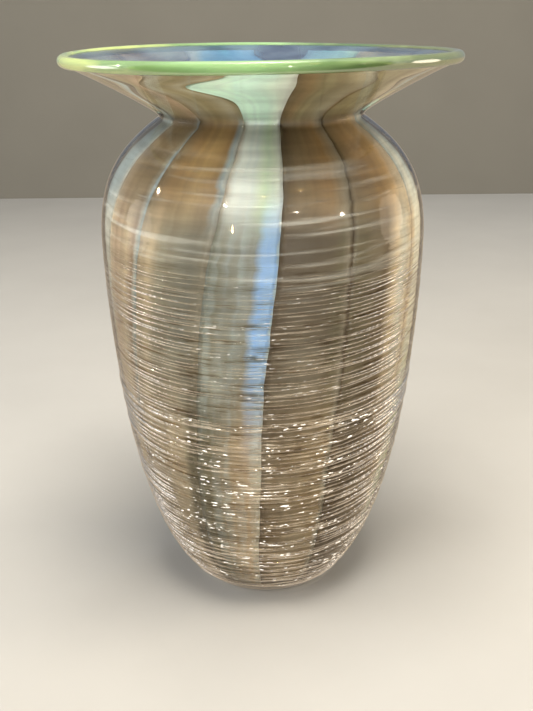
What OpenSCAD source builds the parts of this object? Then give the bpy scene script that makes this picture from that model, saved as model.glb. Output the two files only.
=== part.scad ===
// Hand blown flared vase, standing on its foot with +Z up.
// The origin is the centre of the foot, on the surface that the vase stands on.
// The glass is built up in the order in which it is gathered: a clear inner bubble, a ring of coloured
// panels laid round it, a clear outer casing, threads trailed round the outside and a wrap on the lip.

/* [Body] */
// Overall height, to the top of the lip
height = 280; // [274:1:300]
// Radius of the foot
foot_r = 36.7; // [33:0.1:40]
// Rise of the wall where it leaves the foot, in degrees from level
foot_angle = 37.5; // [34:0.5:42]
// Radius of the belly
belly_r = 81.7; // [78:0.1:86]
// Height of the belly's widest line
belly_z = 190; // [184:1:198]
// Radius of the crease between shoulder and flare
neck_r = 49.8; // [46:0.1:53]
// Height of that crease
neck_z = 250.1; // [246:0.1:252]

/* [Lip] */
// Outermost radius of the lip wrap
lip_r = 96.6; // [92:0.2:104]
// Radius of the lip wrap's round section
bead_r = 2.9; // [2.8:0.1:3.6]

/* [Glass layers] */
// Thickness of the clear outer casing
casing_t = 1.8; // [1.5:0.1:2.2]
// Thickness of the coloured panels
colour_t = 1.2; // [1:0.1:1.5]
// Thickness of the clear inner bubble
bubble_t = 1.5; // [1.2:0.1:2]
// Thickness of the casing under the foot
casing_floor = 4; // [3.5:0.5:5]
// Height of the inside floor of the vase
floor_z = 9; // [8:0.5:11]
// Height at which the coloured panels start
colour_z = 6; // [5.5:0.5:7]

/* [Pontil] */
// Radius of the polished pontil dish under the foot
pontil_r = 17; // [14:1:20]
// Depth of that dish
pontil_depth = 1.4; // [1:0.1:1.8]

/* [Threads] */
// Radius of the fine thread on the shoulder
fine_thread_r = 0.4; // [0.3:0.05:0.5]
// Radius of the thread on the belly
belly_thread_r = 0.6; // [0.5:0.05:0.7]
// Radius of the heavy thread near the foot
heavy_thread_r = 0.75; // [0.6:0.05:0.85]
// Height at which the fine thread starts, under the neck
trail_top = 236; // [228:1:240]
// Height at which the belly thread takes over
belly_trail_top = 194; // [188:1:198]
// Height at which the heavy thread takes over
heavy_trail_top = 122; // [116:1:128]
// Height of the lowest lap
trail_bottom = 5; // [4:0.5:8]
// Rise of the fine thread in one lap
fine_pitch = 5; // [4:0.5:6]
// Rise of the belly thread in one lap
belly_pitch = 1.9; // [1.8:0.1:2.4]
// Rise of the heavy thread in one lap
heavy_pitch = 2.2; // [2:0.1:2.6]

/* [Hidden] */
$fn = 96;
// Straight steps in each curve of the profile
body_steps = 14;
shoulder_steps = 12;
flare_steps = 10;
// Depth of each layer's inner face under the outside of the wall
colour_depth = casing_t;
bubble_depth = casing_t + colour_t;
wall_t = casing_t + colour_t + bubble_t;
// Centre of the lip wrap's section
bead_x = lip_r - bead_r;
bead_z = height - bead_r;
// The underside of the flare ends just inside the lip wrap
flare_end_x = bead_x - bead_r / 7;
flare_end_z = bead_z - bead_r * 6 / 7;
// Lengths and slopes of the profile curves' handles
foot_handle = 55;
belly_handle_down = 5;
belly_handle_up = 31;
shoulder_handle = 26;
shoulder_angle = 34.5;
flare_handle = 3.2;
flare_angle = 80;
lip_handle = 5;
lip_angle = 14;
// Heights at which a panel's edge changes direction, on the body and as shares of the flare's own height
BODY_EDGE_HEIGHTS = [0, 55, 110, 165, 210];
FLARE_EDGE_SHARES = [0, 0.4, 0.56, 0.66, 0.75, 0.83, 0.91, 1];
// How late on the flare a panel's edge makes its swing, and how short that swing is
swing_delay = 2.35;
swing_sharpness = 3.4;
// Turn between the flats of a thread's domed section, in degrees
thread_facet = 45;
// Larger than the vase, for cutting
reach = 140;

// Each panel: its node name, the place of its left edge at the neck, in degrees from the front (-Y) towards
// +X, that edge's lean from the neck back to the foot, and how far it swings out on its way across the flare,
// both in degrees round the axis. A panel ends where the next one starts.
PANELS = [
    ["opal_panel_1", -86, 16, 14],
    ["bronze_panel_1", -57, 26, 10],
    ["bronze_panel_2", -35, 26, -8],
    ["opal_panel_2", -9, 21, -15],
    ["bronze_panel_3", 10, 13.5, 1],
    ["bronze_panel_4", 34, 9, 6],
    ["opal_panel_3", 65, 6, -10],
    ["bronze_panel_5", 93, 6, -12],
    ["bronze_panel_6", 118, 11, -4],
    ["opal_panel_4", 143, 14, -10],
    ["bronze_panel_7", 163, 15, 3],
    ["opal_panel_5", 183, 18, -8],
    ["bronze_panel_8", 208, 14, 5],
    ["bronze_panel_9", 238, 16, 9]
];

// ---- Profile ----

// A point at distance d and angle a from p
function polar(p, d, a) = [p.x + d * cos(a), p.y + d * sin(a)];

function bezier_point(a, b, c, d, t) =
    pow(1 - t, 3) * a + 3 * pow(1 - t, 2) * t * b + 3 * (1 - t) * t * t * c + pow(t, 3) * d;

function bezier_slope(a, b, c, d, t) =
    pow(1 - t, 2) * (b - a) + 2 * (1 - t) * t * (c - b) + t * t * (d - c);

// The three curves of the outside, as Bezier control points
foot_edge = [foot_r, 0];
belly = [belly_r, belly_z];
neck = [neck_r, neck_z];
flare_end = [flare_end_x, flare_end_z];
BODY_CURVE = [foot_edge, polar(foot_edge, foot_handle, foot_angle),
              belly - [0, belly_handle_down], belly];
SHOULDER_CURVE = [belly, belly + [0, belly_handle_up],
                  polar(neck, shoulder_handle, -shoulder_angle), neck];
FLARE_CURVE = [neck, polar(neck, flare_handle, flare_angle),
               polar(flare_end, lip_handle, 180 + lip_angle), flare_end];

// Points at a depth under one curve of the outside, measured square to it
function curve_line(c, steps, depth) = [
    for (i = [0 : steps])
        let (t = i / steps)
        let (p = bezier_point(c[0], c[1], c[2], c[3], t))
        let (s = bezier_slope(c[0], c[1], c[2], c[3], t))
        p + depth * [-s.y, s.x] / norm(s)
];

function from_index(line, first) = [for (i = [first : len(line) - 1]) line[i]];

// A whole surface of the wall, at a depth under the outside. Under the surface the neck's crease opens
// into a short bevel, so there both of its ends are kept.
function wall_line(depth) = concat(
    curve_line(BODY_CURVE, body_steps, depth),
    from_index(curve_line(SHOULDER_CURVE, shoulder_steps, depth), 1),
    from_index(curve_line(FLARE_CURVE, flare_steps, depth), depth > 0 ? 0 : 1)
);

// The part of a line above height z, starting with the point at that height
function above(line, z) =
    let (first = min([for (i = [1 : len(line) - 1]) if (line[i].y > z) i]))
    let (low = line[first - 1])
    let (high = line[first])
    let (start = low + (high - low) * (z - low.y) / (high.y - low.y))
    concat([start], from_index(line, first));

// Radius of the outside at height z, which over the flare's end is that of the end
function wall_r(z) = z < flare_end_z ? above(wall_line(0), z)[0].x : flare_end_x;

function last(line) = line[len(line) - 1];

function reversed(line) = [for (i = [len(line) - 1 : -1 : 0]) line[i]];

// Outline of a vessel wall between two depths, closed by a flat floor
function vessel_outline(outer_depth, bottom_z, inner_depth, inside_floor_z) = concat(
    [[0, bottom_z]],
    above(wall_line(outer_depth), bottom_z),
    reversed(above(wall_line(inner_depth), inside_floor_z)),
    [[0, inside_floor_z]]
);

module colour_section() {
    polygon(concat(
        above(wall_line(colour_depth), colour_z),
        reversed(above(wall_line(bubble_depth), colour_z))
    ));
}

// ---- Glass layers ----

module inner_bubble() {
    color("lightsteelblue", 0.4)
        rotate_extrude()
            difference() {
                polygon(vessel_outline(colour_depth, casing_floor, wall_t, floor_z));
                colour_section();
            }
}

// How far a panel's left edge stands from its place at the neck at height z, in degrees round the axis
function edge_turn(panel, z) =
    let (share = (z - neck_z) / (flare_end_z - neck_z))
    z < neck_z ? -panel[2] * (1 - pow(z / neck_z, 2)) :
    z < flare_end_z ? panel[3] * pow(sin(180 * pow(share, swing_delay)), swing_sharpness) : 0;

// Everything to the right of a panel's left edge, seen from outside, on that edge's side of the vase
module right_of_edge(panel) {
    flare_heights = [for (share = FLARE_EDGE_SHARES) neck_z + share * (flare_end_z - neck_z)];
    heights = concat(BODY_EDGE_HEIGHTS, flare_heights, [height]);
    edge = [for (z = heights) [wall_r(z) * sin(edge_turn(panel, z)), z]];
    rotate([0, 0, panel[1]])
        rotate([90, 0, 0])
            linear_extrude(reach)
                polygon(concat(edge, [[reach, last(edge).y], [reach, 0]]));
}

module panel(index) {
    this = PANELS[index];
    next = PANELS[(index + 1) % len(PANELS)];
    color(this[0][0] == "o" ? "lightblue" : "rosybrown")
        difference() {
            intersection() {
                rotate_extrude()
                    colour_section();
                right_of_edge(this);
            }
            right_of_edge(next);
        }
}

module outer_casing() {
    dish_sphere_r = (pontil_r * pontil_r + pontil_depth * pontil_depth) / (2 * pontil_depth);
    color("tan", 0.3)
        difference() {
            rotate_extrude()
                polygon(vessel_outline(0, 0, colour_depth, casing_floor));
            translate([0, 0, pontil_depth - dish_sphere_r])
                sphere(dish_sphere_r);
        }
}

// ---- Lip wrap ----

module lip_wrap() {
    color("olivedrab")
        rotate_extrude()
            difference() {
                translate([bead_x, bead_z])
                    circle(bead_r);
                polygon(vessel_outline(0, 0, wall_t, floor_z));
            }
}

// ---- Trailed threads ----

// Slope of the outside at height z, in degrees from level
function wall_slope(z) =
    let (line = above(wall_line(0), z))
    atan2(line[1].y - line[0].y, line[1].x - line[0].x);

// A thread wound round the body, each lap a ring of domed section whose flat lies on the casing
module trail(bottom, top, pitch, thread_r) {
    dome = [for (a = [-90 : thread_facet : 90]) thread_r * [cos(a), sin(a)]];
    rotate_extrude()
        for (z = [bottom : pitch : top - pitch / 2])
            translate([wall_r(z), z])
                rotate(wall_slope(z) - 90)
                    polygon(dome);
}

module shoulder_thread() {
    color("peru")
        trail(belly_trail_top, trail_top, fine_pitch, fine_thread_r);
}

module belly_thread() {
    color("burlywood")
        trail(heavy_trail_top, belly_trail_top, belly_pitch, belly_thread_r);
}

module foot_thread() {
    color("wheat")
        trail(trail_bottom, heavy_trail_top, heavy_pitch, heavy_thread_r);
}

// ---- Assembly ----

inner_bubble();
for (i = [0 : len(PANELS) - 1])
    panel(i);
outer_casing();
lip_wrap();
shoulder_thread();
belly_thread();
foot_thread();
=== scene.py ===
# Looks for the hand blown flared vase. Metres, +Z up, the foot's centre at the origin, the front facing -Y.
import math

import bpy
import numpy as np
from mathutils import Matrix, Vector


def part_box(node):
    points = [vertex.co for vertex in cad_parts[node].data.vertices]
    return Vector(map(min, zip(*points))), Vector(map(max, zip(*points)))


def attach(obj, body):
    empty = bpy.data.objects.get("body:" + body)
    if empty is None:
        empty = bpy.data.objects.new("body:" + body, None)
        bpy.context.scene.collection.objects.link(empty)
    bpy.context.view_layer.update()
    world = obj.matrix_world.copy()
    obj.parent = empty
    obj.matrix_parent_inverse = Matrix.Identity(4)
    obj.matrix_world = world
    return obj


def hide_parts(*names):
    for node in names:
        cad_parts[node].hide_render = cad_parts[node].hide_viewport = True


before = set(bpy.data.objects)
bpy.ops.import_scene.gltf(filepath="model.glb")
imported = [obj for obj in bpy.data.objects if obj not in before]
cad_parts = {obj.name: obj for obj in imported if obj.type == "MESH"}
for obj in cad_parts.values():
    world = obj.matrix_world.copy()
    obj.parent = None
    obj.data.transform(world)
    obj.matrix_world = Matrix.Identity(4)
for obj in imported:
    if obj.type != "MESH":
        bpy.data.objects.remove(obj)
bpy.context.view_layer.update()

scene = bpy.context.scene

MM = 0.001

# ---- Sizes, as in part.scad ----

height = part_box("lip_wrap")[1].z
lip_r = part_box("lip_wrap")[1].x
bead_r = 2.9 * MM
foot_r = 36.7 * MM
foot_angle = 37.5
belly = np.array([81.7, 190]) * MM
neck = np.array([49.8, 250.1]) * MM
casing_t = 1.8 * MM
colour_t = 1.2 * MM
bubble_t = 1.5 * MM
wall_t = casing_t + colour_t + bubble_t
casing_floor = 4 * MM
floor_z = 9 * MM
colour_z = 6 * MM
pontil_r = 17 * MM
pontil_depth = 1.4 * MM

bead_centre = np.array([lip_r - bead_r, height - bead_r])
flare_end = bead_centre - bead_r * np.array([1 / 7, 6 / 7])

# Each panel: node, its left edge at the neck in degrees from the front towards +X, that edge's lean from
# the neck back to the foot, its swing on the way across the flare, and its kind of glass. It ends where the
# next one starts.
PANELS = [
    ("opal_panel_1", -86, 16, 14, "ice_ribbon"),
    ("bronze_panel_1", -57, 26, 10, "rose_bronze"),
    ("bronze_panel_2", -35, 26, -8, "smoked_bronze"),
    ("opal_panel_2", -9, 21, -15, "opal_fan"),
    ("bronze_panel_3", 10, 13.5, 1, "umber"),
    ("bronze_panel_4", 34, 9, 6, "copper_bronze"),
    ("opal_panel_3", 65, 6, -10, "cream_ribbon"),
    ("bronze_panel_5", 93, 6, -12, "smoked_bronze"),
    ("bronze_panel_6", 118, 11, -4, "copper_bronze"),
    ("opal_panel_4", 143, 14, -10, "opal_fan"),
    ("bronze_panel_7", 163, 15, 3, "umber"),
    ("opal_panel_5", 183, 18, -8, "opal_fan"),
    ("bronze_panel_8", 208, 14, 5, "rose_bronze"),
    ("bronze_panel_9", 238, 16, 9, "smoked_bronze"),
]

# Each thread: its lowest and highest lap, the rise in one lap, half its width, its height as a share of
# that, how far the laps wander, in laps, the laps between two heavy ones and how much heavier those are,
# how milky the glass is, and how strongly its white specks of painted sparkle show
THREADS = [
    dict(node="foot_thread", bottom=5 * MM, top=122 * MM, pitch=2.2 * MM, half_width=0.66 * MM,
         rise=0.75, wander=0.45, heavy_every=4.6, heavier=0.5, milk=0.24, sparkle_specks=0.8),
    dict(node="belly_thread", bottom=122 * MM, top=194 * MM, pitch=1.9 * MM, half_width=0.42 * MM,
         rise=0.5, wander=0.55, heavy_every=7.3, heavier=0.35, milk=0.16, sparkle_specks=0.3),
    dict(node="shoulder_thread", bottom=194 * MM, top=236 * MM, pitch=5 * MM, half_width=0.18 * MM,
         rise=0.3, wander=0.7, heavy_every=3.7, heavier=0.2, milk=0.06, sparkle_specks=0.0),
]
trail_bottom = THREADS[0]["bottom"]
trail_top = THREADS[-1]["top"]

# How far a lap is lower at the front than at the back, at most, as a slope
LAP_TILT = 0.08
# How late on the flare a panel's edge makes its swing, and how short that swing is
SWING_DELAY = 2.35
SWING_SHARPNESS = 3.4
# Gap that keeps the faces of two fused layers apart
layer_gap = 0.05 * MM
# Steps round the vase in the smooth layers
ROUND = 176
# Points across a panel
PANEL_COLUMNS = 13
# Steps along the lip and round its section
LIP_ROUND = 288
LIP_STEPS = 20
# Steps in one lap of a thread, and flats over its dome
LAP_STEPS = 132
DOME_STEPS = 5
# Heights over which the laps of thread grow finer, and how much finer they get
FINER_FROM = 165 * MM
FINER_TO = 195 * MM
FINER_BY = 0.6


# ---- Profile of the wall ----

def polar(point, distance, degrees):
    angle = math.radians(degrees)
    return point + distance * np.array([math.cos(angle), math.sin(angle)])


def bezier(a, b, c, d, steps=200):
    t = np.linspace(0, 1, steps + 1)[:, None]
    return (1 - t) ** 3 * a + 3 * (1 - t) ** 2 * t * b + 3 * (1 - t) * t * t * c + t ** 3 * d


def evenly(line, step):
    """The same line, with points an even step apart."""
    along = np.concatenate([[0], np.cumsum(np.linalg.norm(np.diff(line, axis=0), axis=1))])
    wanted = np.linspace(0, along[-1], round(along[-1] / step) + 1)
    return np.stack([np.interp(wanted, along, line[:, k]) for k in (0, 1)], axis=1)


def outside_line():
    """Outside of the wall, as points (radius, z) from the foot's edge to the lip."""
    foot = np.array([foot_r, 0])
    body = bezier(foot, polar(foot, 55 * MM, foot_angle), belly - [0, 5 * MM], belly)
    shoulder = bezier(belly, belly + [0, 31 * MM], polar(neck, 26 * MM, -34.5), neck)
    flare = bezier(neck, polar(neck, 3.2 * MM, 80), polar(flare_end, 5 * MM, 194), flare_end)
    return evenly(np.vstack([body, shoulder[1:], flare[1:]]), 1.6 * MM)


OUTSIDE = outside_line()
along = np.gradient(OUTSIDE, axis=0)
along /= np.linalg.norm(along, axis=1)[:, None]
INWARD = np.stack([-along[:, 1], along[:, 0]], axis=1)


def wall_line(depth):
    """The surface at a depth under the outside."""
    return OUTSIDE + depth * INWARD


def from_height(line, z):
    """The part of a line from height z up, starting at that height."""
    start = [np.interp(z, line[:40, 1], line[:40, 0]), z]
    return np.vstack([start, line[line[:, 1] > z + 0.2 * MM]])


# ---- Meshes ----

def place(radius, azimuth, z):
    """Points of the vase from radius, azimuth in degrees and height, with the slight swings of a form
    shaped by hand, the same for every layer."""
    turn = np.radians(azimuth)
    share = z / height
    swing = 1 + 0.0025 * np.sin(2 * turn + 1.0 + 3 * share) + 0.0015 * np.sin(3 * turn + 2.2)
    lift = 0.5 * MM * np.sin(2 * turn + 0.4) * share ** 6
    return np.stack([radius * swing * np.sin(turn), -radius * swing * np.cos(turn), z + lift], axis=-1)


def add_mesh(name, points, faces):
    mesh = bpy.data.meshes.new(name)
    mesh.from_pydata([tuple(p) for p in points.reshape(-1, 3)], [], faces)
    mesh.shade_smooth()
    obj = bpy.data.objects.new(name, mesh)
    scene.collection.objects.link(obj)
    return obj


def grid_faces(rows, columns, round_rows=False, round_columns=False):
    """Four-sided faces between the points of a grid stored row after row."""
    faces = []
    for i in range(rows if round_rows else rows - 1):
        for j in range(columns if round_columns else columns - 1):
            a = i * columns + j
            b = i * columns + (j + 1) % columns
            c = (i + 1) % rows * columns + (j + 1) % columns
            d = (i + 1) % rows * columns + j
            faces.append((a, b, c, d))
    return faces


def revolve(name, profile):
    """A closed solid turned from a profile that starts and ends on the axis."""
    rim = profile[1:-1]
    azimuth = np.arange(ROUND) * 360 / ROUND
    rings = place(rim[:, None, 0], azimuth[None, :], rim[:, None, 1] + 0 * azimuth[None, :])
    points = rings.reshape(-1, 3)
    first_pole = len(points)
    last_pole = first_pole + 1
    points = np.vstack([points, [0, 0, profile[0, 1]], [0, 0, profile[-1, 1]]])
    faces = grid_faces(len(rim), ROUND, round_columns=True)
    last_ring = (len(rim) - 1) * ROUND
    for j in range(ROUND):
        k = (j + 1) % ROUND
        faces.append((first_pole, k, j))
        faces.append((last_pole, last_ring + j, last_ring + k))
    return add_mesh(name, points, faces)


def finish_piece(obj, node):
    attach(obj, "root")
    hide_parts(node)
    return obj


# ---- Material building ----

GLASS_IOR = 1.5


def linear(rgb):
    """A colour given as three sRGB values from 0 to 255, and how solid it is if that isn't 1."""
    share = [c / 255 for c in rgb[:3]]
    solid = rgb[3] if len(rgb) > 3 else 1
    return [c / 12.92 if c <= 0.04045 else ((c + 0.055) / 1.055) ** 2.4 for c in share] + [solid]


class Nodes:
    """A node tree that is built up from nothing."""

    def __init__(self, tree):
        self.tree = tree
        self.tree.nodes.clear()

    def add(self, kind, inputs=None, **settings):
        node = self.tree.nodes.new(kind)
        for key, value in settings.items():
            setattr(node, key, value)
        for key, value in (inputs or {}).items():
            if isinstance(value, bpy.types.NodeSocket):
                self.tree.links.new(value, node.inputs[key])
            else:
                node.inputs[key].default_value = value
        return node

    def math(self, operation, a, b=0.0):
        return self.add("ShaderNodeMath", {0: a, 1: b}, operation=operation).outputs[0]

    def remap(self, value, low, high, to_low=0.0, to_high=1.0):
        """Value taken smoothly from one range to another, and held at its ends."""
        inputs = {"Value": value, "From Min": low, "From Max": high, "To Min": to_low, "To Max": to_high}
        node = self.add("ShaderNodeMapRange", inputs, interpolation_type="SMOOTHSTEP")
        return node.outputs["Result"]

    def mix(self, share, a, b, blend="MIX"):
        node = self.add("ShaderNodeMix", {0: share, 6: a, 7: b}, data_type="RGBA", blend_type=blend)
        return node.outputs[2]

    def blend(self, share, a, b):
        return self.add("ShaderNodeMix", {0: share, 2: a, 3: b}, data_type="FLOAT").outputs[0]

    def ramp(self, value, stops, output="Color"):
        node = self.add("ShaderNodeValToRGB", {0: value})
        elements = node.color_ramp.elements
        while len(elements) < len(stops):
            elements.new(1)
        for element, (position, colour) in zip(elements, stops):
            element.position = position
            element.color = linear(colour)
        return node.outputs[output]


class Glass(Nodes):
    """One material's node tree."""

    def __init__(self, name):
        self.material = bpy.data.materials.new(name)
        self.material.use_nodes = True
        super().__init__(self.material.node_tree)
        self.place = self.add("ShaderNodeTexCoord").outputs["Object"]
        self.z = self.add("ShaderNodeSeparateXYZ", {0: self.place}).outputs["Z"]

    def noise(self, scale, detail=3.0, vector=None, roughness=0.5):
        """Cloudy noise, from about 0.25 to 0.75, with its own scale on each axis."""
        mapped = self.add("ShaderNodeMapping", {0: vector or self.place, "Scale": scale}).outputs[0]
        inputs = {"Vector": mapped, "Scale": 1.0, "Detail": detail, "Roughness": roughness}
        return self.add("ShaderNodeTexNoise", inputs).outputs[0]

    def bump(self, value, strength, distance):
        inputs = {"Height": value, "Strength": strength, "Distance": distance}
        return self.add("ShaderNodeBump", inputs).outputs[0]

    def edge_on(self, blend):
        """From 0 where the glass faces the eye to 1 where it is seen edge on."""
        return self.add("ShaderNodeLayerWeight", {"Blend": blend}).outputs["Facing"]

    def mixed(self, share, a, b):
        """Two shaders, the second by a share."""
        return self.add("ShaderNodeMixShader", {0: share, 1: a, 2: b}).outputs[0]

    def clear(self, tint):
        """Glass that light goes straight through, taking on its tint."""
        return self.add("ShaderNodeBsdfTransparent", {"Color": tint}).outputs[0]

    def glossed(self, under, roughness, normal, colour, most=1.0):
        """A gloss over a shader, stronger where the surface is seen at a slant."""
        inputs = {"Color": colour, "Roughness": roughness, "Normal": normal}
        gloss = self.add("ShaderNodeBsdfGlossy", inputs).outputs[0]
        share = self.add("ShaderNodeFresnel", {"IOR": GLASS_IOR, "Normal": normal}).outputs[0]
        return self.mixed(self.math("MULTIPLY", share, most), under, gloss)

    def done(self, shader):
        self.add("ShaderNodeOutputMaterial", {"Surface": shader})
        return self.material


# ---- Glass ----

# Tones of the coloured glass, in sRGB, with how solid the clearest one is
TONE = {
    "umber": (94, 80, 58),
    "pitch": (106, 97, 80),
    "dark_bronze": (118, 103, 79),
    "bronze": (148, 130, 98),
    "copper": (174, 144, 98),
    "amber": (204, 174, 120),
    "rose": (186, 164, 142),
    "champagne": (172, 154, 128),
    "khaki": (156, 150, 118),
    "smoke": (146, 141, 124),
    "olive": (112, 108, 86),
    "sage": (130, 132, 122),
    "ash": (170, 166, 148),
    "clear": (114, 104, 86, 0.72),
    "cream": (224, 210, 182),
    "frost": (226, 232, 226),
    "mint": (206, 226, 194),
    "ice": (178, 200, 208),
    "sky": (138, 178, 224),
    "fan": (212, 250, 236),
}

# Tones across each kind of panel, as shares of the way from its left edge to its right, at four heights up
# the vase. The first and the last tone of a row reach to the panel's edges.
KINDS = {
    "ice_ribbon": {
        "low": [(0, "champagne"), (0.5, "ash"), (0.9, "rose"), (1, "ice")],
        "body": [(0.2, "clear"), (0.35, "ice"), (0.7, "frost")],
        "top": [(0.3, "clear"), (0.42, "ice"), (0.85, "ice"), (1, "frost")],
        "flare": [(0.45, "clear"), (0.52, "ash"), (0.8, "ice"), (0.86, "clear")],
    },
    "rose_bronze": {
        "low": [(0, "bronze"), (0.25, "cream"), (0.8, "cream"), (0.92, "rose"), (1, "ash")],
        "body": [(0, "cream"), (0.3, "rose"), (0.65, "cream"), (0.86, "rose"), (0.92, "frost"), (1, "ice")],
        "top": [(0, "champagne"), (0.3, "bronze"), (0.8, "bronze"), (0.92, "ash"), (0.96, "ice")],
        "flare": [(0, "ash"), (0.2, "khaki"), (0.7, "champagne"), (0.9, "rose"), (1, "cream")],
    },
    "smoked_bronze": {
        "low": [(0.75, "cream"), (0.9, "olive")],
        "body": [(0.22, "cream"), (0.36, "ash"), (0.8, "sage"), (1, "smoke")],
        "top": [(0, "bronze"), (0.25, "copper"), (0.6, "amber"), (0.86, "copper"), (0.94, "ice"),
                (1, "frost")],
        "flare": [(0, "bronze"), (0.12, "ash"), (0.5, "khaki"), (0.85, "ash"), (1, "khaki")],
    },
    "opal_fan": {
        "low": [(0.2, "olive"), (0.5, "bronze"), (0.85, "champagne"), (1, "ash")],
        "body": [(0.1, "olive"), (0.25, "sage"), (0.66, "sage"), (0.78, "sky"), (0.97, "sky"), (1, "ice")],
        "top": [(0, "champagne"), (0.15, "frost"), (0.45, "frost"), (0.7, "mint"), (1, "frost")],
        "flare": [(0.6, "fan"), (1, "frost")],
    },
    "umber": {
        "low": [(0, "umber"), (0.1, "dark_bronze"), (0.6, "bronze"), (0.9, "bronze"), (0.96, "ash"),
                (1, "olive")],
        "body": [(0, "umber"), (0.3, "pitch"), (0.7, "pitch"), (0.86, "olive"), (0.95, "smoke"),
                 (1, "umber")],
        "top": [(0, "umber"), (0.1, "dark_bronze"), (0.3, "bronze"), (0.7, "copper"), (0.97, "ash"),
                (1, "umber")],
        "flare": [(0, "dark_bronze"), (0.2, "bronze"), (0.36, "khaki"), (0.94, "ash"), (1, "bronze")],
    },
    "copper_bronze": {
        "low": [(0.3, "umber"), (0.6, "bronze"), (0.85, "champagne"), (1, "cream")],
        "body": [(0, "umber"), (0.05, "olive"), (0.5, "dark_bronze"), (0.66, "cream"), (0.82, "frost"),
                 (1, "cream")],
        "top": [(0, "umber"), (0.06, "bronze"), (0.3, "copper"), (0.7, "amber"), (0.9, "cream")],
        "flare": [(0, "dark_bronze"), (0.06, "khaki"), (0.6, "khaki"), (1, "cream")],
    },
    "cream_ribbon": {
        "low": [(0, "frost"), (0.4, "mint"), (0.8, "ash"), (1, "champagne")],
        "body": [(0, "rose"), (0.1, "cream"), (0.2, "frost"), (0.75, "frost"), (1, "ash")],
        "top": [(0, "ice"), (0.2, "frost"), (0.5, "ice"), (0.62, "clear")],
        "flare": [(0, "clear"), (0.15, "ash"), (0.45, "ice"), (0.55, "clear")],
    },
}

# Tone of the fine streaks in each kind of glass
STREAKS = {
    "ice_ribbon": "ash",
    "rose_bronze": "dark_bronze",
    "smoked_bronze": "dark_bronze",
    "opal_fan": "ice",
    "umber": "umber",
    "copper_bronze": "dark_bronze",
    "cream_ribbon": "ash",
}

# How much of the light each kind of glass lets straight through
CLEARNESS = {
    "ice_ribbon": 0.4,
    "rose_bronze": 0.2,
    "smoked_bronze": 0.2,
    "opal_fan": 0.05,
    "umber": 0.2,
    "copper_bronze": 0.2,
    "cream_ribbon": 0.25,
}
# How much of the flare glows with the light behind it, and the heights over which that begins
FLARE_GLOW = 0.68
GLOW_RISE = (246 * MM, 258 * MM)
# Heights over which the tones of one level give way to those of the next
LEVEL_CHANGES = [
    ("body", 85 * MM, 160 * MM),
    ("top", 200 * MM, 230 * MM),
    ("flare", 248.5 * MM, 255 * MM),
]


def panel_tones(glass, across, kind):
    """The colour of a kind of panel at each place, and how solid it is."""
    stops = {level: [(at, TONE[tone]) for at, tone in row] for level, row in KINDS[kind].items()}
    colour = glass.ramp(across, stops["low"])
    solid = glass.ramp(across, stops["low"], "Alpha")
    for level, start, end in LEVEL_CHANGES:
        share = glass.remap(glass.z, start, end)
        colour = glass.mix(share, colour, glass.ramp(across, stops[level]))
        solid = glass.blend(share, solid, glass.ramp(across, stops[level], "Alpha"))
    return colour, solid


def panel_material(kind):
    """Coloured glass with tones that run across the panel, drawn out along it in fine streaks."""
    glass = Glass(kind)
    across = glass.add("ShaderNodeAttribute", attribute_name="across").outputs["Fac"]
    jagged = glass.remap(glass.noise((30, 30, 170), 4.0), 0.3, 0.7, -0.025, 0.025)
    across = glass.math("ADD", across, jagged)
    colour, solid = panel_tones(glass, across, kind)

    # Streaks along the panel, and cloudy bands where the glass has been marvered
    turned = glass.noise((20, 20, 6))
    drawn_out = glass.add("ShaderNodeCombineXYZ", {0: across, 1: glass.z, 2: turned}).outputs[0]
    streaks = glass.noise((7, 9, 2), 4.0, drawn_out)
    bands = glass.noise((22, 22, 260), 3.0)
    clouds = glass.noise((45, 45, 22), 3.0)
    colour = glass.mix(glass.remap(streaks, 0.35, 0.7, 0.0, 0.32), colour, linear(TONE[STREAKS[kind]]))
    cloud_tone = linear(TONE["frost" if kind == "opal_fan" else "ash"])
    colour = glass.mix(glass.remap(clouds, 0.5, 0.75, 0.0, 0.3), colour, cloud_tone)
    lightness = glass.remap(bands, 0.3, 0.7, 0.82, 1.14)
    shade = glass.add("ShaderNodeCombineColor", {0: lightness, 1: lightness, 2: lightness}).outputs[0]
    colour = glass.mix(1.0, colour, shade, "MULTIPLY")
    inputs = {
        "Base Color": colour,
        "Roughness": glass.remap(clouds, 0.3, 0.7, 0.3, 0.5),
        "Specular IOR Level": 0.3,
        "Transmission Weight": CLEARNESS[kind],
        "Normal": glass.bump(bands, 0.35, 0.3 * MM),
    }
    front = glass.add("ShaderNodeBsdfPrincipled", inputs).outputs[0]
    behind = glass.add("ShaderNodeBsdfTranslucent", {"Color": colour}).outputs[0]
    lit = glass.mixed(glass.remap(glass.z, *GLOW_RISE, 0.0, FLARE_GLOW), front, behind)
    return glass.done(glass.mixed(solid, glass.clear((0.86, 0.83, 0.76, 1)), lit))


# Heights where the casing's ripples calm down, its painted lap shade and wisps come and go, and its lustre
# grows
RIPPLES_CALM = (235 * MM, 252 * MM)
LAP_SHADE_RISE = (210 * MM, 170 * MM)
WISPS_RISE = (150 * MM, 200 * MM)
WISPS_FADE = (225 * MM, 245 * MM)
LUSTRE_RISE = (240 * MM, 262 * MM)


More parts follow.
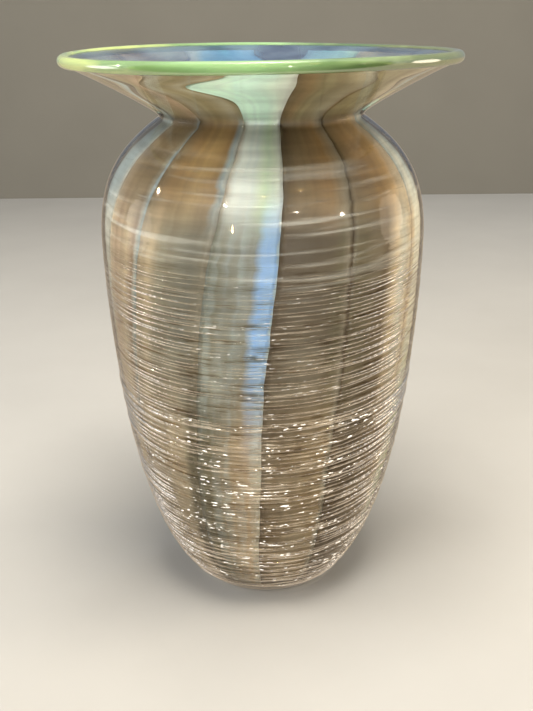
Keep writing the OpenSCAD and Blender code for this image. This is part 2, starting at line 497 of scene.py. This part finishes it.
def casing_material():
    """Clear glass over the colour: gloss by Fresnel, faint ripples and wisps round the body, painted shade
    at its edges and between the laps.
    """
    glass = Glass("clear_casing")
    # Height as the tilted laps have it
    axes = glass.add("ShaderNodeSeparateXYZ", {0: glass.place}).outputs
    tilted_z = glass.math("SUBTRACT", axes["Z"], glass.math("MULTIPLY", axes["Y"], LAP_TILT))
    along_laps = glass.add("ShaderNodeCombineXYZ", {0: axes["X"], 1: axes["Y"], 2: tilted_z}).outputs[0]
    ripples = glass.noise((18, 18, 190), 4.0, along_laps)
    dimples = glass.noise((70, 70, 110), 3.0)
    relief = glass.math("ADD", ripples, glass.math("MULTIPLY", dimples, 0.3))
    on_body = glass.remap(glass.z, *RIPPLES_CALM, 1.0, 0.15)
    normal = glass.bump(glass.math("MULTIPLY", relief, on_body), 0.6, 0.4 * MM)
    # Painted shade: a warmer, darker tint where the glass is seen edge on, for the dark room seen through
    # it there
    edge_shade_tints = [(0, (255, 254, 251)), (0.6, (248, 244, 236)), (1, (206, 196, 178))]
    tint = glass.ramp(glass.edge_on(0.35), edge_shade_tints)
    # Painted shade: thin dark broken lines between the laps, where the threads would shade the casing
    lap_shade_noise = glass.noise((42, 42, 620), 3.0, along_laps, 0.65)
    lap_shade = glass.math("MULTIPLY", glass.remap(lap_shade_noise, 0.53, 0.66), glass.remap(glass.z, *LAP_SHADE_RISE))
    tint = glass.mix(lap_shade, tint, linear((190, 175, 152)), "MULTIPLY")
    # Pale wisps along the laps of the shoulder
    pale = glass.add("ShaderNodeBsdfDiffuse", {"Color": (0.72, 0.72, 0.64, 1)}).outputs[0]
    wisps = glass.remap(glass.noise((12, 12, 300), 4.0, along_laps), 0.5, 0.75, 0.0, 0.24)
    wisps = glass.math("MULTIPLY", wisps, glass.remap(glass.z, *WISPS_RISE))
    wisps = glass.math("MULTIPLY", wisps, glass.remap(glass.z, *WISPS_FADE, 1.0, 0.0))
    milky = glass.mixed(wisps, glass.clear(tint), pale)
    roughness = glass.remap(dimples, 0.3, 0.7, 0.02, 0.07)
    return glass.done(glass.glossed(milky, roughness, normal, (1, 0.99, 0.97, 1)))


def bubble_material():
    """The inside of the bubble: a thin silvery blue lustre over the colour, stronger in the flare, which is
    blue and grey by turns round its back half."""
    glass = Glass("lustre_bubble")
    waves = glass.noise((30, 30, 90), 3.0)
    normal = glass.bump(waves, 0.3, 0.3 * MM)
    axes = glass.add("ShaderNodeSeparateXYZ", {0: glass.place}).outputs
    across = glass.remap(axes["X"], -lip_r, lip_r)
    wander = glass.math("ADD", across, glass.remap(waves, 0.3, 0.7, -0.02, 0.02))
    stops = [
        (0.05, (236, 238, 234)),
        (0.24, (228, 228, 230)),
        (0.27, (166, 204, 236)),
        (0.49, (156, 196, 236)),
        (0.52, (126, 114, 122)),
        (0.66, (134, 124, 130)),
        (0.69, (172, 208, 226)),
        (0.84, (182, 210, 214)),
        (0.88, (240, 240, 216)),
    ]
    at_the_back = glass.remap(axes["Y"], -10 * MM, 20 * MM)
    tinted = glass.math("MULTIPLY", glass.remap(glass.z, *LUSTRE_RISE), at_the_back)
    tint = glass.mix(tinted, linear((250, 248, 243)), glass.ramp(wander, stops))
    film_colour = glass.ramp(waves, [(0.3, (84, 96, 122)), (0.5, (104, 122, 150)), (0.7, (132, 154, 172))])
    film_inputs = {"Base Color": film_colour, "Roughness": 0.3, "Specular IOR Level": 0.5, "Normal": normal}
    film = glass.add("ShaderNodeBsdfPrincipled", film_inputs).outputs[0]
    weight = glass.remap(glass.z, *LUSTRE_RISE, 0.15, 0.34)
    weight = glass.math("MULTIPLY", weight, glass.remap(waves, 0.3, 0.7, 0.75, 1.1))
    lustre = glass.mixed(weight, glass.clear(tint), film)
    roughness = glass.remap(waves, 0.3, 0.7, 0.04, 0.1)
    return glass.done(glass.glossed(lustre, roughness, normal, (0.8, 0.8, 0.8, 1)))


def fused_material():
    """A face that is fused to the next layer, so nothing of it shows."""
    glass = Glass("fused_face")
    return glass.done(glass.clear((1, 1, 1, 1)))


def lip_material():
    """Pale green glass, olive towards the right, with a painted glow in the lighter yellow at its left end.
    """
    glass = Glass("green_lip")
    x = glass.add("ShaderNodeSeparateXYZ", {0: glass.place}).outputs["X"]
    share = glass.remap(x, -lip_r, lip_r)
    swirls = glass.noise((26, 26, 130), 4.0)
    wander = glass.math("ADD", share, glass.remap(swirls, 0.3, 0.7, -0.08, 0.08))
    # Painted glow: the lighter yellow green at the left end stands in for light coming through the lip
    # there
    stops = [
        (0, (164, 178, 106)),
        (0.1, (104, 134, 78)),
        (0.35, (124, 160, 106)),
        (0.55, (126, 162, 110)),
        (0.8, (64, 90, 46)),
        (1, (84, 92, 44)),
    ]
    colour = glass.ramp(wander, stops)
    colour = glass.mix(glass.remap(swirls, 0.5, 0.8, 0.0, 0.4), colour, linear((166, 192, 134)))
    inputs = {
        "Base Color": colour,
        "Roughness": glass.remap(swirls, 0.3, 0.7, 0.04, 0.1),
        "IOR": GLASS_IOR,
        "Specular IOR Level": 0.25,
        "Transmission Weight": 0.38,
        "Normal": glass.bump(glass.noise((60, 60, 60), 2.0), 0.25, 0.4 * MM),
    }
    return glass.done(glass.add("ShaderNodeBsdfPrincipled", inputs).outputs[0])


def thread_material(name, most_milk, sparkle_specks):
    """Clear warm glass thread: faintly milky, with painted shade in brown along its sides, broken sparkling
    gloss and white specks of painted sparkle. In places it has melted in until it hardly shows."""
    glass = Glass(name)
    shown = glass.remap(glass.noise((24, 24, 55), 3.0), 0.36, 0.6, 0.2, 1.0)
    flow = glass.noise((90, 90, 420), 4.0)
    grain = glass.noise((420, 420, 620), 2.0)
    normal = glass.bump(glass.math("ADD", flow, grain), 1.0, 0.5 * MM)
    # Painted shade: the sides of the thread, seen edge on, are tinted darker brown for the light the glass
    # bends away there
    edge_on_shade_tints = [(0, (255, 252, 246)), (0.45, (246, 238, 224)), (1, (180, 163, 140))]
    tint = glass.mix(shown, (1, 1, 1, 1), glass.ramp(glass.edge_on(0.5), edge_on_shade_tints))
    pale = glass.ramp(flow, [(0.3, (190, 164, 132)), (0.55, (220, 202, 174)), (0.75, (238, 230, 212))])
    body = glass.add("ShaderNodeBsdfDiffuse", {"Color": pale}).outputs[0]
    milk = glass.math("MULTIPLY", glass.remap(flow, 0.42, 0.66, 0.0, most_milk), shown)
    filled = glass.mixed(milk, glass.clear(tint), body)
    # Painted sparkle: white specks that stand in for glints, drawn out along the thread and gathered in
    # loose clusters
    clusters = glass.remap(glass.noise((60, 60, 190), 2.0), 0.3, 0.7, -0.08, 0.06)
    dashes = glass.math("ADD", glass.noise((340, 340, 1500), 1.0), clusters)
    white = glass.add("ShaderNodeBsdfDiffuse", {"Color": (0.95, 0.92, 0.86, 1)}).outputs[0]
    sparkled = glass.mixed(glass.remap(dashes, 0.63, 0.69, 0.0, sparkle_specks), filled, white)
    roughness = glass.remap(grain, 0.3, 0.7, 0.06, 0.16)
    return glass.done(glass.glossed(sparkled, roughness, normal, (1, 0.97, 0.92, 1), shown))


# ---- Layers of the wall ----

def edge_wobble(index, z):
    """Small swings of a panel's edge, in degrees, different for each edge."""
    phase = 2.4 * index
    slow = 0.35 * np.sin(z / (17 * MM) + phase)
    quick = 0.18 * np.sin(z / (5.3 * MM) + 1.7 * phase) + 0.12 * np.sin(z / (2.1 * MM) + 2.9 * phase)
    return slow + quick * (0.4 + 0.6 * np.sin(z / (31 * MM) + phase) ** 2)


def edge_azimuth(index, z):
    """Where a panel's left edge stands at height z, in degrees."""
    turns, index = divmod(index, len(PANELS))
    at_neck, lean, swing = PANELS[index][1:4]
    down = -lean * (1 - np.minimum(z / neck[1], 1) ** 2)
    share = np.clip((z - neck[1]) / (flare_end[1] - neck[1]), 0, 1)
    out = swing * np.sin(math.pi * share ** SWING_DELAY) ** SWING_SHARPNESS
    return at_neck + 360 * turns + down + out + edge_wobble(index, z)


def make_panel(index, material, fused):
    """A curved panel of coloured glass, closed by its own edges. Its outer face carries the colour."""
    node = PANELS[index][0]
    columns = PANEL_COLUMNS
    outer = wall_line(casing_t)
    inner = wall_line(casing_t + colour_t)
    shown = outer[:, 1] > colour_z
    share = np.linspace(0, 1, columns)
    faces_of = []
    for line in (outer[shown], inner[shown]):
        z = np.maximum(line[:, 1], colour_z)
        left = edge_azimuth(index, z)
        right = edge_azimuth(index + 1, z)
        azimuth = left[:, None] + (right - left)[:, None] * share[None, :]
        radius = line[:, 0][:, None] + 0 * share[None, :]
        faces_of.append(place(radius, azimuth, z[:, None] + 0 * share[None, :]))
    rows = len(faces_of[0])
    # The section runs across the outer face and back across the inner one
    loop = np.concatenate([faces_of[0], faces_of[1][:, ::-1]], axis=1)
    obj = add_mesh(node + "_glass", loop, grid_faces(rows, 2 * columns, round_columns=True))
    mesh = obj.data
    across = np.tile(np.concatenate([share, share[::-1]]), rows)
    attribute = mesh.attributes.new("across", "FLOAT", "POINT")
    attribute.data.foreach_set("value", across.astype(np.float32))
    mesh.materials.append(material)
    mesh.materials.append(fused)
    for face in mesh.polygons:
        face.material_index = 0 if face.index % (2 * columns) < columns - 1 else 1
    return finish_piece(obj, node)


def make_casing(clear, fused):
    """The clear outer gather, with the polished pontil dish under its foot."""
    share = np.linspace(0, 1, 9)[:, None]
    dish = np.hstack([pontil_r * share, pontil_depth * (1 - share ** 2)])
    # The flat ring that the vase stands on, just short of the dish's edge and of the foot's rounded edge
    ring = np.array([[pontil_r + 0.6 * MM, 0], [foot_r - 0.8 * MM, 0]])
    outer = np.vstack([dish, ring, OUTSIDE[1:]])
    inner = from_height(wall_line(casing_t - layer_gap), casing_floor)[::-1]
    profile = np.vstack([outer, inner, [0, casing_floor]])
    obj = revolve("clear_casing_glass", profile)
    obj.data.materials.append(clear)
    obj.data.materials.append(fused)
    outer_faces = (len(outer) - 2) * ROUND
    pole_faces = 2 * ROUND
    grid_count = len(obj.data.polygons) - pole_faces
    for face in obj.data.polygons:
        in_grid = face.index < grid_count
        face.material_index = 1 if in_grid and face.index >= outer_faces else 0
    return finish_piece(obj, "outer_casing")


def make_bubble(lustre, fused):
    """The clear inner bubble, whose inside face can be seen through the mouth."""
    underside = casing_floor + 0.5 * MM
    outer = from_height(wall_line(casing_t + colour_t + layer_gap), underside)
    inner = from_height(wall_line(wall_t), floor_z)[::-1]
    profile = np.vstack([[0, underside], outer, inner, [0, floor_z]])
    obj = revolve("inner_bubble_glass", profile)
    obj.data.materials.append(lustre)
    obj.data.materials.append(fused)
    outer_faces = len(outer) * ROUND
    for face in obj.data.polygons:
        if face.index < outer_faces:
            face.material_index = 1
    return finish_piece(obj, "inner_bubble")


def make_lip(material):
    """The wrap round the lip, a bead that swells and thins a little on its way round."""
    azimuth = np.arange(LIP_ROUND) * 360 / LIP_ROUND
    turn = np.radians(azimuth)
    waves = np.sin(3 * turn + 1) * 0.5 + np.sin(7 * turn + 2) * 0.3 + np.sin(13 * turn) * 0.2
    swell = 1 - 0.035 * (1 + waves)
    section = np.arange(LIP_STEPS) * 2 * math.pi / LIP_STEPS
    radius = bead_centre[0] + bead_r * swell[:, None] * np.cos(section)[None, :]
    z = bead_centre[1] + bead_r * swell[:, None] * np.sin(section)[None, :]
    points = place(radius, azimuth[:, None] + 0 * z, z)
    faces = grid_faces(LIP_ROUND, LIP_STEPS, round_rows=True, round_columns=True)
    obj = add_mesh("lip_wrap_glass", points, faces)
    obj.data.materials.append(material)
    return finish_piece(obj, "lip_wrap")


# ---- Trailed threads ----

def swings(turn, seed, rates):
    """Smooth wandering along a thread, from about -1 to 1. The rates aren't whole, so laps differ."""
    phases = np.random.default_rng(seed).uniform(0, 2 * math.pi, len(rates))
    return sum(np.sin(rate * turn + phase) for rate, phase in zip(rates, phases)) / math.sqrt(len(rates))


def thread_course(thread, seed):
    """The turn round the vase, the height and half the width of a thread, at each step along it."""
    laps = (thread["top"] - thread["bottom"]) / thread["pitch"]
    turn = np.linspace(0, 2 * math.pi * laps, round(laps * LAP_STEPS) + 1)
    lap = turn / (2 * math.pi)
    level = thread["bottom"] + thread["pitch"] * lap

    # The laps tilt most in the middle of the vase, and each wanders up and down
    drift = thread["wander"] * swings(turn, seed, [0.37, 0.83, 1.61, 2.27])
    drift += 0.12 * swings(turn, seed + 1, [7.3, 11.9, 17.3])
    whole = (level - trail_bottom) / (trail_top - trail_bottom)
    tilt = LAP_TILT * np.sin(math.pi * whole) * belly[0] * np.cos(turn + 0.15)
    z = level + 0.6 * thread["pitch"] * drift - tilt
    z = np.maximum(z, trail_bottom - thread["pitch"])

    # A heavy lap now and then, beads along the thread, finer laps up the belly, and ends that taper off
    beat = lap / thread["heavy_every"] + 0.06 * swings(turn, seed + 2, [0.41, 0.73])
    heavy = np.maximum(np.sin(2 * math.pi * beat), 0)
    beads = 0.2 * swings(turn, seed + 3, [1.3, 3.1, 9.7, 23.3, 41.1])
    fine = 1 - FINER_BY * np.clip((level - FINER_FROM) / (FINER_TO - FINER_FROM), 0, 1)
    size = thread["half_width"] * (0.85 + thread["heavier"] * heavy ** 3 + beads) * fine
    ends = np.clip(np.minimum(turn, turn[-1] - turn) / 0.6, 0.15, 1)
    return turn, z, np.maximum(size, 0.25 * thread["half_width"]) * ends


def make_thread(thread, seed):
    """One thread wound upwards in a continuous spiral, domed where it stands out of the casing."""
    node = thread["node"]
    turn, z, size = thread_course(thread, seed)
    wall = np.stack([np.interp(z, OUTSIDE[:, 1], OUTSIDE[:, 0]), z], axis=1)
    inward = np.stack([np.interp(z, OUTSIDE[:, 1], INWARD[:, k]) for k in (0, 1)], axis=1)
    upward = np.stack([inward[:, 1], -inward[:, 0]], axis=1)
    angle = np.linspace(-math.pi / 2, math.pi / 2, DOME_STEPS + 1)
    out = thread["rise"] * size[:, None] * np.cos(angle)[None, :] - layer_gap
    along_wall = size[:, None] * np.sin(angle)[None, :]
    radius = wall[:, :1] - inward[:, :1] * out + upward[:, :1] * along_wall
    level = wall[:, 1:] - inward[:, 1:] * out + upward[:, 1:] * along_wall
    azimuth = np.degrees(turn)[:, None] + 0 * level
    obj = add_mesh(node + "_glass", place(radius, azimuth, level), grid_faces(len(turn), DOME_STEPS + 1))
    obj.data.materials.append(thread_material(node + "_look", thread["milk"], thread["sparkle_specks"]))
    obj.visible_shadow = False
    return finish_piece(obj, node)


kinds = {kind: panel_material(kind) for kind in KINDS}
fused = fused_material()
for index, panel in enumerate(PANELS):
    make_panel(index, kinds[panel[-1]], fused)
make_casing(casing_material(), fused)
make_bubble(bubble_material(), fused)
make_lip(lip_material())
for number, thread in enumerate(THREADS):
    make_thread(thread, seed=10 + 10 * number)


# ---- Stage ----

def stage_plane(name, size, location, rotation, colour):
    """A plain square, lightly mottled, that the gloss of the glass doesn't mirror."""
    half = size / 2
    mesh = bpy.data.meshes.new(name)
    corners = [(-half, -half, 0), (half, -half, 0), (half, half, 0), (-half, half, 0)]
    mesh.from_pydata(corners, [], [(0, 1, 2, 3)])
    obj = bpy.data.objects.new(name, mesh)
    obj.location = location
    obj.rotation_euler = rotation
    scene.collection.objects.link(obj)
    paint = Glass(name)
    grain = paint.noise((9, 9, 9), 4.0)
    tone = paint.ramp(grain, [(0.3, colour), (0.7, [c * 1.03 for c in colour])])
    inputs = {"Base Color": tone, "Roughness": 0.75, "Specular IOR Level": 0.2}
    mesh.materials.append(paint.done(paint.add("ShaderNodeBsdfPrincipled", inputs).outputs[0]))
    obj.visible_glossy = False


stage_plane("floor", 6, (0, 0, 0), (0, 0, 0), (136, 135, 132))
stage_plane("backdrop", 6, (0, 1.1, 0), (math.pi / 2, 0, 0), (96, 94, 88))


# ---- Light ----

# The point near the vase's middle that every light is turned to
LIT_POINT = (0, 0, 160 * MM)


def aim(obj, target):
    obj.rotation_euler = (Vector(target) - obj.location).to_track_quat("-Z", "Y").to_euler()


def area_light(name, azimuth, level, distance, size, energy, colour, mirrored=True, glint=False):
    """A light at an azimuth round the vase, a height and a distance from the vase's axis. A mirrored one
    shows in the gloss of the glass, a glint shows only there, and the others only light the colours."""
    data = bpy.data.lights.new(name, "AREA")
    data.shape = "ELLIPSE"
    data.size, data.size_y = size
    data.energy = energy
    data.color = colour
    obj = bpy.data.objects.new(name, data)
    angle = math.radians(azimuth)
    obj.location = (distance * math.sin(angle), -distance * math.cos(angle), level)
    aim(obj, LIT_POINT)
    obj.visible_glossy = mirrored
    obj.visible_diffuse = not glint
    scene.collection.objects.link(obj)


GOLD = (1.0, 0.62, 0.2)
WARM = (1.0, 0.86, 0.68)
SOFT_WARM = (1.0, 0.93, 0.82)
NEUTRAL = (1.0, 0.97, 0.93)
COOL = (0.86, 0.93, 1.0)
area_light("key", -40, 1.0, 1.3, (0.9, 0.9), 16, NEUTRAL, mirrored=False)
area_light("fill", 50, 0.8, 1.4, (0.9, 0.9), 10, WARM, mirrored=False)
area_light("top", 10, 1.5, 0.25, (0.7, 0.7), 48, SOFT_WARM, mirrored=False)
area_light("low_fill", 5, 0.03, 0.9, (0.9, 0.3), 9.5, NEUTRAL, mirrored=False)
area_light("left_side", -95, 0.35, 0.9, (0.5, 0.5), 7, NEUTRAL, mirrored=False)
area_light("right_side", 95, 0.35, 0.9, (0.5, 0.5), 8, WARM, mirrored=False)
area_light("back", 160, 0.8, 1.2, (0.5, 0.7), 8, COOL, mirrored=False)
area_light("left_window", -92, 0.25, 1.1, (0.5, 0.5), 0.9, NEUTRAL)
area_light("right_window", 98, 0.25, 1.1, (0.5, 0.5), 1.2, WARM)

# Small lamps that show only as glints in the gloss: azimuth, height, distance from the axis, colour
LAMPS = [
    (-84, 0.68, 0.94, WARM),
    (-26, 0.76, 0.92, WARM),
    (-19, 0.43, 1.05, GOLD),
    (2, 0.87, 0.84, GOLD),
    (15, 0.49, 1.04, WARM),
    (24, 0.66, 0.97, WARM),
    (33, 0.93, 0.78, GOLD),
    (56, 0.5, 1.02, WARM),
]
for number, (azimuth, level, distance, colour) in enumerate(LAMPS):
    area_light("lamp_%d" % number, azimuth, level, distance, (0.02, 0.02), 1.5, colour, glint=True)

# A dim cool room above, and below it the warm light of the ground in the gloss of the glass
world = bpy.data.worlds.new("studio")
world.use_nodes = True
room = Nodes(world.node_tree)
direction = room.add("ShaderNodeTexCoord").outputs["Generated"]
upward = room.add("ShaderNodeSeparateXYZ", {0: direction}).outputs["Z"]
tone = room.mix(room.remap(upward, -0.12, 0.02), linear((206, 190, 170)), linear((165, 169, 174)))
background = room.add("ShaderNodeBackground", {"Color": tone, "Strength": 0.8}).outputs[0]
room.add("ShaderNodeOutputWorld", {"Surface": background})
scene.world = world
scene.view_settings.view_transform = "Standard"


# ---- Camera ----

# Placed as the photo was taken: lens in millimetres, place in metres, tilt and roll in radians
camera_data = bpy.data.cameras.new("camera")
camera_data.lens = 48.1
camera_data.sensor_width = 36
camera = bpy.data.objects.new("camera", camera_data)
scene.collection.objects.link(camera)
tilt_down = math.radians(20.29)
roll = -0.01
camera.matrix_world = (
    Matrix.Translation((0.0013, -0.480, 0.3005))
    @ Matrix.Rotation(math.pi / 2 - tilt_down, 4, "X")
    @ Matrix.Rotation(roll, 4, "Z")
)
scene.camera = camera
